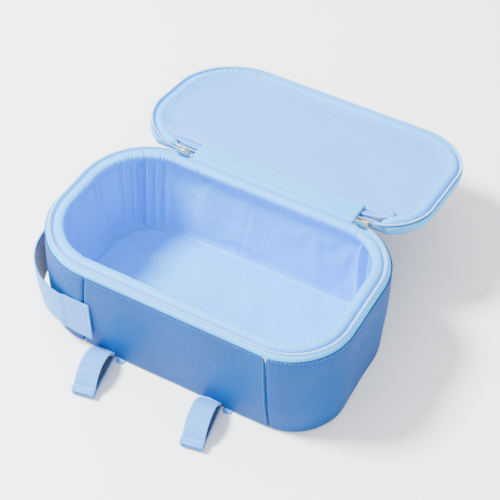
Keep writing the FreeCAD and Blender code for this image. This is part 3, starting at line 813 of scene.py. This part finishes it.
def lid_wealth(along):
    return 0.5 + 3.4 * left_share(along) + 0.4 * bump_at(near(along, at_back(100)), 30)


def make_lid_roll():
    begin = at_back(-81)
    finish = at_back(101)
    radius = gathered_roll(gathers(19, begin, finish, lid_wealth), 160, lid_wealth)
    level = HINGE.z + 0.7 + ROLL_SIZE / 2

    def place(along, turn):
        ends = min(along - begin, finish - along)
        size = radius(along, turn) * math.sqrt(max(0.0004, min(1.0, ends / 9)))
        angle = math.radians(turn)
        return lay(along, 1.0, ROLL_MIDDLE - size * math.cos(angle),
                   level + size * math.sin(angle))
    bm = drape(place, (begin, finish), (0, 360), (0.75, 360 / 26), closed=True)
    scale_turns(bm)
    bmesh.ops.holes_fill(bm, edges=[e for e in bm.edges if e.is_boundary])
    roll = finish_piece("lid_piping", open_lid(bm), LINING, "lid", "lining_sheet",
                        ["lid_border_roll"])


# ---- zipper: tapes, coils, stops, sliders and pulls ----

ZIP_BEGIN = at_back(GUSSET_LEFT - 0.35)
ZIP_END = at_back(GUSSET_RIGHT + 0.35)
COIL_PITCH = 1.3


def make_body_tape():
    """The tape stands up from the cover, carries the coil and tucks in under the roll."""
    width, line = smooth_line([
        (0.75, 83.8), (0.95, 86.0), (1.9, 87.7), (3.6, 88.2), (5.2, 88.0), (6.8, 87.0),
        (7.8, 85.4)])

    def place(along, run):
        inset, height = line(run)
        return lay(along, 1.0, inset + 0.12 * noise.noise(Vector((along / 7, run / 5, 0))),
                   height)
    bm = drape(place, (ZIP_BEGIN, ZIP_END), (0, width), (2.0, 0.7))
    tape = finish_piece("body_tape", bm, TAPE, "tub", "light_blue_tape",
                        ["body_zipper_tape"], 0.5)


def coil(name, level, turn_open, body, node):
    """A helix of nylon wire along the rim, one turn to each tooth."""
    turns = int((ZIP_END - ZIP_BEGIN - 6) / COIL_PITCH)
    curve = bpy.data.curves.new(name, "CURVE")
    curve.dimensions = "3D"
    curve.bevel_depth = 0.27 * MM
    curve.bevel_resolution = 0
    spline = curve.splines.new("POLY")
    per_turn = 7
    spline.points.add(turns * per_turn - 1)
    for i, point in enumerate(spline.points):
        angle = 2 * math.pi * i / per_turn
        along = ZIP_BEGIN + 3 + COIL_PITCH * i / per_turn
        spot = lay(along, 1.0, COIL_INSET + 0.62 * math.cos(angle),
                   level + 0.5 * math.sin(angle)) * MM
        point.co = (*spot, 1)
    holder = bpy.data.objects.new(name, curve)
    bm = bmesh.new()
    bm.from_mesh(bpy.data.meshes.new_from_object(holder))
    bmesh.ops.scale(bm, vec=(1 / MM,) * 3, verts=bm.verts)
    bpy.data.objects.remove(holder)
    if turn_open:
        open_lid(bm)
    return finish_piece(name, bm, NYLON, body, "zipper_coil", [node])


def make_coils():
    coil("body_coil", COIL_LEVEL, False, "tub", "body_zipper_coil")
    coil("lid_coil", 2 * HINGE.z - COIL_LEVEL, True, "lid", "lid_zipper_coil")


def make_metal():
    """The sliders, pulls and stops, with every edge tumbled round."""
    for node, body in (("slider_left", "left_slider"), ("slider_right", "right_slider"),
                       ("pull_left", "left_pull"), ("pull_right", "right_pull"),
                       ("zipper_stops", "tub")):
        bm = bmesh.new()
        bm.from_mesh(frame["nodes"][node].data)
        bmesh.ops.scale(bm, vec=(1 / MM,) * 3, verts=bm.verts)
        bmesh.ops.remove_doubles(bm, verts=bm.verts, dist=0.002)
        bmesh.ops.dissolve_limit(bm, angle_limit=math.radians(1), verts=bm.verts,
                                 edges=bm.edges)
        sharp = [e for e in bm.edges if e.calc_face_angle(0) > math.radians(20)]
        bmesh.ops.bevel(bm, geom=sharp, offset=0.18, segments=2, profile=0.5,
                        affect="EDGES", material=-1, clamp_overlap=True)
        finish_piece(f"{node}_metal", bm, NICKEL, body, "slider_metal", [node])


# ---- the fabric hinge ----

HINGE_OVERHANG = 3.2


def make_hinge():
    """Two plies of tape across the back; their side views are (y, height) points."""
    upper = ((66.0, 85.6), (67.2, 88.6), (69.4, 90.2), (72.0, 90.1), (74.4, 89.5),
             (75.2, 89.9), (78.5, 89.75), (84.0, 88.9), (88.3, 88.2))
    lower = ((72.6, 83.6), (72.3, 86.4), (71.6, 88.4), (71.2, 89.1), (74.0, 88.6),
             (79.0, 87.8), (84.0, 87.1))
    for name, points, node, lift in (("hinge_strip", upper, "hinge_gusset_lid", 0.5),
                                     ("hinge_backing", lower, "hinge_gusset_body", 0.4)):
        depth, line = smooth_line(points)

        def place(x, run):
            y, height = line(run)
            ripple = 0.25 * noise.noise(Vector((x / 13, run / 9, 4)))
            return Vector((x, y, height + ripple * eased(run / 6)))
        bm = drape(place, (GUSSET_LEFT - HINGE_OVERHANG, GUSSET_RIGHT + HINGE_OVERHANG),
                   (0, depth), (2.0, 0.6))
        bmesh.ops.reverse_faces(bm, faces=bm.faces)
        strip = finish_piece(name, bm, TAPE, None, "light_blue_tape", [node], lift, side=1.0)
        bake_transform(strip)


# ---- the lid ----

def lid_edge(inset):
    """The lid's outline at an inset, cut off straight in front of the hinge."""
    def edge(along):
        spot = rim(along, 1.0, inset)[0]
        return Vector((spot.x, min(spot.y, LID_BACK)))
    return edge


HEM = (HINGE.y - 25.0, HINGE.y - 17.4)
HEM_ENDS = (-96.0, 102.0)


def make_lid():
    edge = lid_edge(LID_INSET)
    crown = HINGE.z + 10.5

    def dome(spot, ring):
        drift = noise.noise(Vector((spot.x / 50, spot.y / 40, 9)))
        return eased(ring / 0.5) * (0.9 + 0.5 * drift) - 0.9 * (1 - eased(ring / 0.05))
    bm = open_lid(disc(edge, 62, crown, 30, 3.0, dome))
    cover = finish_piece("lid_cover", bm, OXFORD, "lid", "outer_fabric",
                         ["lid_outer_panel"], FABRIC * 0.8)
    sheet_of(edge)

    inner = lid_edge(ROLL_INSET + ROLL_SIZE - 2.2)
    face = HINGE.z + 1.7

    def quilt(spot, ring):
        soft = noise.noise(Vector((spot.x / 34, spot.y / 26, 11)))
        ridge = noise.ridged_multi_fractal(Vector((spot.x / 60, spot.y / 24, 1)),
                                           0.9, 2.0, 3, 1.0, 2.0)
        sunk = 1.4 * eased(ring / 0.14) + 0.35 * soft + 0.2 * ridge
        fold = 0.5 * bump_at(spot.y + 44 + 0.06 * spot.x, 1.4) * eased((spot.x + 60) / 30)
        return sunk - fold
    bm = disc(inner, 62, face, 60, 1.6, quilt)
    bmesh.ops.reverse_faces(bm, faces=bm.faces)
    lining = finish_piece("lid_inner_cloth", open_lid(bm), LID_CLOTH, "lid",
                          "lining_sheet", ["lid_lining"], 0.5)
    sheet_of(inner)

    # a band's piece, node and thickness, how far its lower edge runs on towards the hinge,
    # and its side view as (inset, height) points
    bands = (
        ("lid_side_cloth", "lid_side_band", 0.8, 0.0,
         [(3.1, 9.6), (2.7, 8.0), (2.6, 6.0), (2.9, 4.4), (3.4, 3.4)]),
        ("lid_tape", "lid_zipper_tape", 0.5, 3.0,
         [(7.8, 5.4), (6.2, 4.6), (5.0, 4.0), (4.3, 3.3), (4.1, 2.3)]),
    )
    for name, node, thick, onward, profile in bands:
        width, line = smooth_line(profile)

        def place(along, run):
            inset, lift = line(run)
            drift = 0.2 * noise.noise(Vector((along / 16, run / 6, thick)))
            spot = rim(along, 1.0, inset + drift)[0]
            back = LID_BACK + 3 - inset + onward * eased((5.4 - lift) / 3)
            return Vector((spot.x, min(spot.y, back), HINGE.z + lift))
        bm = drape(place, (0, ROUND), (0, width), (2.0, 0.8), closed=True)
        bmesh.ops.reverse_faces(bm, faces=bm.faces)
        band = finish_piece(name, open_lid(bm), TAPE, "lid", "light_blue_tape", [node], thick)
    depth, line = smooth_line([(HEM[0] - 0.2, 3.0), (HEM[0] + 0.3, 1.5), (HEM[0] + 2, 1.15),
                               (HEM[1] - 2, 1.1), (HEM[1] - 0.3, 1.4), (HEM[1] + 0.2, 2.8)])

    def crossing(x, run):
        y, lift = line(run)
        return Vector((x, y + 0.3 * noise.noise(Vector((x / 30, 0, 8))), HINGE.z + lift))
    bm = drape(crossing, HEM_ENDS, (0, depth), (2.0, 0.7))
    bmesh.ops.reverse_faces(bm, faces=bm.faces)
    hem = finish_piece("lid_hem", open_lid(bm), LID_CLOTH, "lid", "lining_sheet", (), 0.5)


def make_lid_stitching():
    bm = bmesh.new()
    up = Vector((0, 0, -1))
    for y, lift in ((HEM[0] + 1.4, 0.9), (HEM[1] - 1.4, 0.9), (HINGE.y - 16.6, -0.1)):
        ends = HEM_ENDS if y < HINGE.y - 17 else (GUSSET_LEFT - 1, GUSSET_RIGHT + 1)
        stitch_row(bm, lambda x: Vector((x, y, HINGE.z + lift)), *ends, lambda x: up,
                   pitch=2.8, length=2.0, width=0.4)
    finish_piece("lid_hem_stitching", open_lid(bm), PALE_THREAD, "lid", "lining_sheet")


# ---- carrying handle ----

HANDLE_LOW = low("handle_webbing").z
HANDLE_HIGH = high("handle_webbing").z
HANDLE_LEFT = low("handle_webbing").x
HANDLE_SIDE = high("handle_webbing").y
HANDLE_RADIUS = 52
ANCHOR_END = high("handle_anchor_front").x


def grip_legs():
    """Lengths of the grip's first run, its bend and its run across the end."""
    flat = HANDLE_LEFT + HANDLE_RADIUS
    return ANCHOR_END - flat, HANDLE_RADIUS * math.pi / 2, 2 * (HANDLE_SIDE - HANDLE_RADIUS)


def grip_point(run, inset):
    """The grip's plan, from its front root round the end to its back root."""
    first, bend, across = grip_legs()
    total = 2 * (first + bend) + across
    mirror = 1
    if run > total / 2:
        run = total - run
        mirror = -1
    centre = Vector((HANDLE_LEFT + HANDLE_RADIUS, HANDLE_RADIUS - HANDLE_SIDE))
    if run < first:
        spot = Vector((ANCHOR_END - run, -HANDLE_SIDE))
        out = Vector((0, -1))
    elif run < first + bend:
        out = heading(270 - 90 * (run - first) / bend)
        spot = centre + out * HANDLE_RADIUS
    else:
        spot = Vector((HANDLE_LEFT, centre.y + run - first - bend))
        out = Vector((-1, 0))
    spot = spot - out * inset
    return Vector((spot.x, spot.y * mirror)), Vector((out.x, out.y * mirror))


def make_handle():
    """The webbing grip and its backing: two plies creased near the front sewn root."""
    first, bend, across = grip_legs()
    total = 2 * (first + bend) + across
    middle = (HANDLE_LOW + HANDLE_HIGH) / 2

    def ply(inset, narrow):
        def place(run, height):
            spot, out = grip_point(run, inset)
            free = eased((min(run, total - run) - 8) / 30)
            lean = 0.05 * (height - middle) * free
            crease = 1.1 * bump_at(run - 21, 2.2) - 0.7 * bump_at(run - 26, 3.0)
            drift = 0.8 * noise.noise(Vector((run / 30, height / 26, 2))) * free
            cup = 0.8 * ((height - middle) / 19) ** 2 * free
            pinch = 1 - 0.04 * free
            spot = spot + out * (lean + drift - crease * free - cup)
            return Vector((spot.x, spot.y, middle + (height - middle) * pinch * narrow))
        return place
    for name, inset, narrow, material, slot, nodes, thick in (
            ("handle_strap", 0.0, 1.0, WEBBING, "light_blue_webbing",
             ["handle_webbing", "handle_anchor_front", "handle_anchor_back"], 1.3),
            ("handle_lining", 1.55, 0.93, NAVY, "navy_hook_and_loop",
             ["handle_backing"], 0.7)):
        trim = 0.0 if inset == 0 else 10.0
        bm = drape(ply(inset, narrow), (trim, total - trim), (HANDLE_LOW, HANDLE_HIGH),
                   (1.6, 2.0))
        bmesh.ops.reverse_faces(bm, faces=bm.faces)
        strap = finish_piece(name, bm, material, None, slot, nodes, thick, soften=0.25)
        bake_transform(strap)
    bm = bmesh.new()
    for mirror in (-1, 1):
        for x in (ANCHOR_END - 1.3, ANCHOR_END - 5.4):
            stitch_row(bm, lambda z: Vector((x, mirror * (HANDLE_SIDE + 0.1), z)),
                       HANDLE_LOW + 1.5, HANDLE_HIGH - 1.5, lambda z: Vector((0, mirror, 0)),
                       pitch=2.4, length=1.8, width=0.45)
    finish_piece("handle_root_stitching", bm, PALE_THREAD, "tub", "light_blue_webbing")


# ---- hook-and-loop straps under the front edge ----

LEG_TOP = 3.3
ARCH_CENTRE = Vector((21.3, -3.83))
ARCH_RADIUS = 18.48
STRAP_LENGTH = 44.0
STRAP_WIDTH = 17.0


def on_strap(side, across, out, height):
    """A point of a strap: across it, out from the bag's front edge, and above the floor."""
    turn = math.radians(STRAP_SKEW)
    return Vector((STRAPS[side] + across * math.cos(turn) + out * math.sin(turn),
                   STRAP_ROOT_Y + across * math.sin(turn) - out * math.cos(turn), height))


def arch_line(radius):
    """Points of the arched leg's side view, from the root to the hem: (out, height)."""
    spots = []
    for i in range(25):
        angle = math.radians(152 - i * (152 - 27) / 24)
        spots.append(ARCH_CENTRE + Vector((math.cos(angle), math.sin(angle))) * radius)
    spots[0].y -= 0.2
    spots.insert(0, Vector((0.6, LEG_TOP + 0.3 + (radius - ARCH_RADIUS))))
    spots.append(Vector((40.6, LEG_TOP + 0.5 + (radius - ARCH_RADIUS))))
    spots.append(Vector((STRAP_LENGTH - 0.2, LEG_TOP + 0.45 + (radius - ARCH_RADIUS))))
    return spots


def ribbon(side, line, width, material, name, body, slot, nodes, thick):
    """A flat strip that follows a side view, the line given as (out, height) points."""
    length, point = smooth_line(line)

    def place(run, across):
        return on_strap(side, across, *point(run))
    bm = drape(place, (0, length), (-width / 2, width / 2), (0.9, 1.2))
    bmesh.ops.recalc_face_normals(bm, faces=bm.faces)
    strip = finish_piece(name, bm, material, body, slot, nodes, thick, side=0.0, soften=0.2)
    return strip, length


def make_strap(side):
    strap, flap = f"{side}_strap", f"{side}_flap"
    node = f"strap_{side}_"
    legs = (
        ("under_tape", 0.7, 0.8, NAVY, "navy_hook_and_loop", ["grip_tape"], 2.8, 44),
        ("lower_leg", 1.8, 1.3, WEBBING, "light_blue_webbing", ["lower_webbing"], 2.8, 44),
        ("loop_field", 2.85, 0.8, NAVY, "navy_hook_and_loop", ["loop_tape"], 3.2, 42),
    )
    for name, level, thick, material, slot, nodes, begin, finish in legs:
        line = [Vector((begin + (finish - begin) * i / 12, level)) for i in range(13)]
        width = STRAP_WIDTH - (0 if material == WEBBING else 1.0)
        strip, run = ribbon(side, line, width, material, f"{side}_strap_{name}", strap, slot,
                            [node + n for n in nodes], thick)
    plies = (
        ("upper_leg", 1.5, WEBBING, "light_blue_webbing", 0.0, 1.3,
         ["root_webbing", "flap_webbing"]),
        ("hook_field", 0.4, NAVY, "navy_hook_and_loop", -1.2, 0.8,
         ["root_hook_tape", "flap_hook_tape"]),
    )
    for name, offset, material, slot, narrow, thick, nodes in plies:
        strip, run = ribbon(side, arch_line(ARCH_RADIUS + offset), STRAP_WIDTH + narrow,
                            material, f"{side}_strap_{name}", None, slot,
                            [node + n for n in nodes], thick)
        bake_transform(strip)
    fold = ((38.6, 6.6), (41.0, 6.5), (43.6, 6.3), (44.4, 5.3), (43.6, 4.4), (40.5, 4.3))
    hem, run = ribbon(side, fold, STRAP_WIDTH + 0.5, WEBBING, f"{side}_strap_hem", flap,
                      "light_blue_webbing", [node + "hem"], 0.9)
    bm = bmesh.new()
    stitch_row(bm, lambda w: on_strap(side, w, 40.4, 7.0), -STRAP_WIDTH / 2 + 0.6,
               STRAP_WIDTH / 2 - 0.4, lambda w: Vector((0, 0, 1)), pitch=2.4, length=1.8,
               width=0.4)
    finish_piece(f"{side}_strap_hem_stitching", bm, PALE_THREAD, flap, "light_blue_webbing")
    anchor_line = [Vector((-2.0 + 4.5 * i / 4, 1.9)) for i in range(5)]
    ribbon(side, anchor_line, STRAP_WIDTH, WEBBING, f"{side}_strap_root", "tub",
           "light_blue_webbing", [node + "anchor"], 2.6)
    make_tab(side, node)


def make_tab(side, node):
    """The short rounded loop beside each strap's root."""
    def place(run, across):
        bend = 4.2 - run
        height = 0.9 + 1.9 * eased(bend / 7)
        half = across * (1 - 0.35 * eased((run - 4.5) / 3.2))
        return on_strap(side, 13.5 + half, run, height)
    bm = drape(place, (-3.0, 7.0), (-3.5, 3.5), (0.7, 0.8))
    tab = finish_piece(f"{side}_strap_tab", bm, WEBBING, "tub", "light_blue_webbing",
                       [node + "tab"], 1.2, soften=0.25)


# ---- build ----

make_cover()
make_cover_stitching()
make_base()
make_foam()
make_lining()
make_rim_roll()
make_lid_roll()
make_body_tape()
make_coils()
make_metal()
make_hinge()
make_lid()
make_lid_stitching()
make_handle()
for hand in STRAPS:
    make_strap(hand)


# ---- floor, light and camera ----

def make_floor():
    bm = bmesh.new()
    bmesh.ops.create_grid(bm, x_segments=1, y_segments=1, size=6)
    mesh = bpy.data.meshes.new("floor")
    bm.to_mesh(mesh)
    bm.free()
    floor = bpy.data.objects.new("floor", mesh)
    floor.location.z = -0.0002
    bpy.context.scene.collection.objects.link(floor)
    paper, _, _ = blank("studio_paper", Base_Color=colour("F4F4F3"), Roughness=0.9,
                        Specular_IOR_Level=0.1)
    mesh.materials.append(paper)


def stand_up(name, data, place, aim):
    """Put a lamp or camera in the scene, pointing at a place."""
    made = bpy.data.objects.new(name, data)
    made.location = place
    made.rotation_euler = (Vector(aim) - Vector(place)).to_track_quat("-Z", "Y").to_euler()
    bpy.context.scene.collection.objects.link(made)
    return made


def area_light(name, place, size, power):
    light = bpy.data.lights.new(name, "AREA")
    light.shape = "DISK"
    light.size = size
    light.energy = power
    stand_up(name, light, place, (0, 0, 0.05))


make_floor()
area_light("key", (-1.0, -0.4, 1.55), 0.5, 140)
area_light("fill", (0.5, -1.6, 1.5), 1.6, 12)
world = bpy.data.worlds.new("studio")
world.use_nodes = True
world.node_tree.nodes["Background"].inputs["Color"].default_value = colour("F2F5FA")
world.node_tree.nodes["Background"].inputs["Strength"].default_value = 2.0
bpy.context.scene.world = world

lens = bpy.data.cameras.new("camera")
lens.lens = 93.5
lens.sensor_width = 36
bpy.context.scene.camera = stand_up("camera", lens, (0.3422, -0.5469, 0.7757),
                                    (0.003685, 0.04718, 0.03763))
